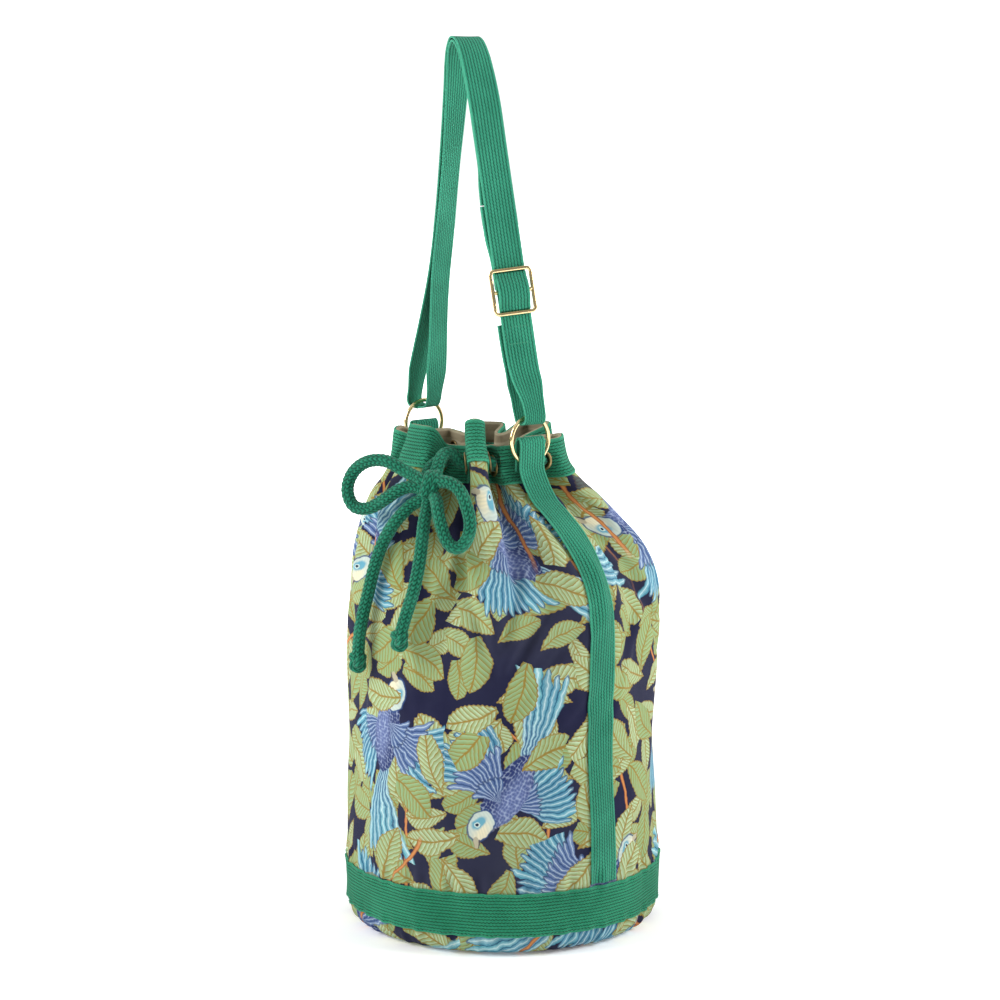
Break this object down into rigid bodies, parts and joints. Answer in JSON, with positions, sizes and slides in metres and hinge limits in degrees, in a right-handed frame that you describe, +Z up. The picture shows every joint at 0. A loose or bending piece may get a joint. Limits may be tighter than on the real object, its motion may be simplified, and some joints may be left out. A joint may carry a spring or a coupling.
{
  "type": "fruit picking bag",
  "caption": "Drawstring bucket bag of printed cotton with green webbing bands, brass eyelets, a braided rope tied in a bow, gold rings and an adjustable webbing shoulder strap.",
  "frame": {"origin": "centre of the flat bottom of the bag, where it rests", "axes": "+Z up along the bag; +X towards the ring and the leg of the strap with the slider; -Y is the front, where the drawstring is tied"},
  "size_m": [0.2566, 0.2664, 0.7044],
  "materials": {
    "printed_cotton": "matte printed cotton canvas, dense leaf and bird print on navy",
    "green_webbing": "matte woven webbing, ribbed lengthwise",
    "lining_tape": "matte woven cotton tape",
    "eyelet_brass": "antique brass, worn satin",
    "gold_hardware": "polished light gold plate",
    "green_rope": "braided cotton rope, matte"
  },
  "bodies": {
    "bag": {"base_panel": "printed_cotton", "back_panel": "printed_cotton", "front_panel": "printed_cotton", "base_band": "green_webbing", "rim_band": "green_webbing", "rim_facing": "lining_tape", "eyelet_1": "eyelet_brass", "eyelet_2": "eyelet_brass", "eyelet_3": "eyelet_brass", "eyelet_4": "eyelet_brass", "eyelet_5": "eyelet_brass", "eyelet_6": "eyelet_brass", "eyelet_7": "eyelet_brass", "eyelet_8": "eyelet_brass", "eyelet_9": "eyelet_brass", "eyelet_10": "eyelet_brass", "eyelet_11": "eyelet_brass", "eyelet_12": "eyelet_brass", "eyelet_13": "eyelet_brass", "eyelet_14": "eyelet_brass", "eyelet_15": "eyelet_brass", "eyelet_16": "eyelet_brass", "side_strip_right": "green_webbing", "side_strip_left": "green_webbing", "drawstring_run": "green_rope", "bow_knot": "green_rope", "drawstring_exit_left": "green_rope", "bow_loop_left": "green_rope", "drawstring_tail_left": "green_rope", "end_knot_left": "green_rope", "drawstring_exit_right": "green_rope", "bow_loop_right": "green_rope", "drawstring_tail_right": "green_rope", "end_knot_right": "green_rope"},
    "strap": {"strap_outer": "green_webbing", "strap_inner": "green_webbing", "strap_slack": "green_webbing"},
    "slider": {"slider_frame": "gold_hardware", "strap_bight": "green_webbing", "strap_sewn_end": "green_webbing"},
    "ring_right": {"ring_right": "gold_hardware"},
    "ring_left": {"ring_left": "gold_hardware"}
  },
  "joints": [
    {"name": "strap_swing", "type": "hinge", "parent": "bag", "child": "strap", "pos_m": [0.0532, -0.015, 0.394], "axis": [1, 0, 0], "range_deg": [-50, 50]},
    {"name": "slider_slide", "type": "slide", "parent": "strap", "child": "slider", "axis": [-0.1989, -0.025, 0.9797], "range_m": [0, 0.05], "deforming": ["strap_slack"]},
    {"name": "ring_right_spin", "type": "hinge", "parent": "bag", "child": "ring_right", "pos_m": [0.0532, -0.015, 0.394], "axis": [1, 0, 0], "continuous": true},
    {"name": "ring_left_spin", "type": "hinge", "parent": "bag", "child": "ring_left", "pos_m": [-0.0832, -0.015, 0.394], "axis": [1, 0, 0], "continuous": true}
  ]
}
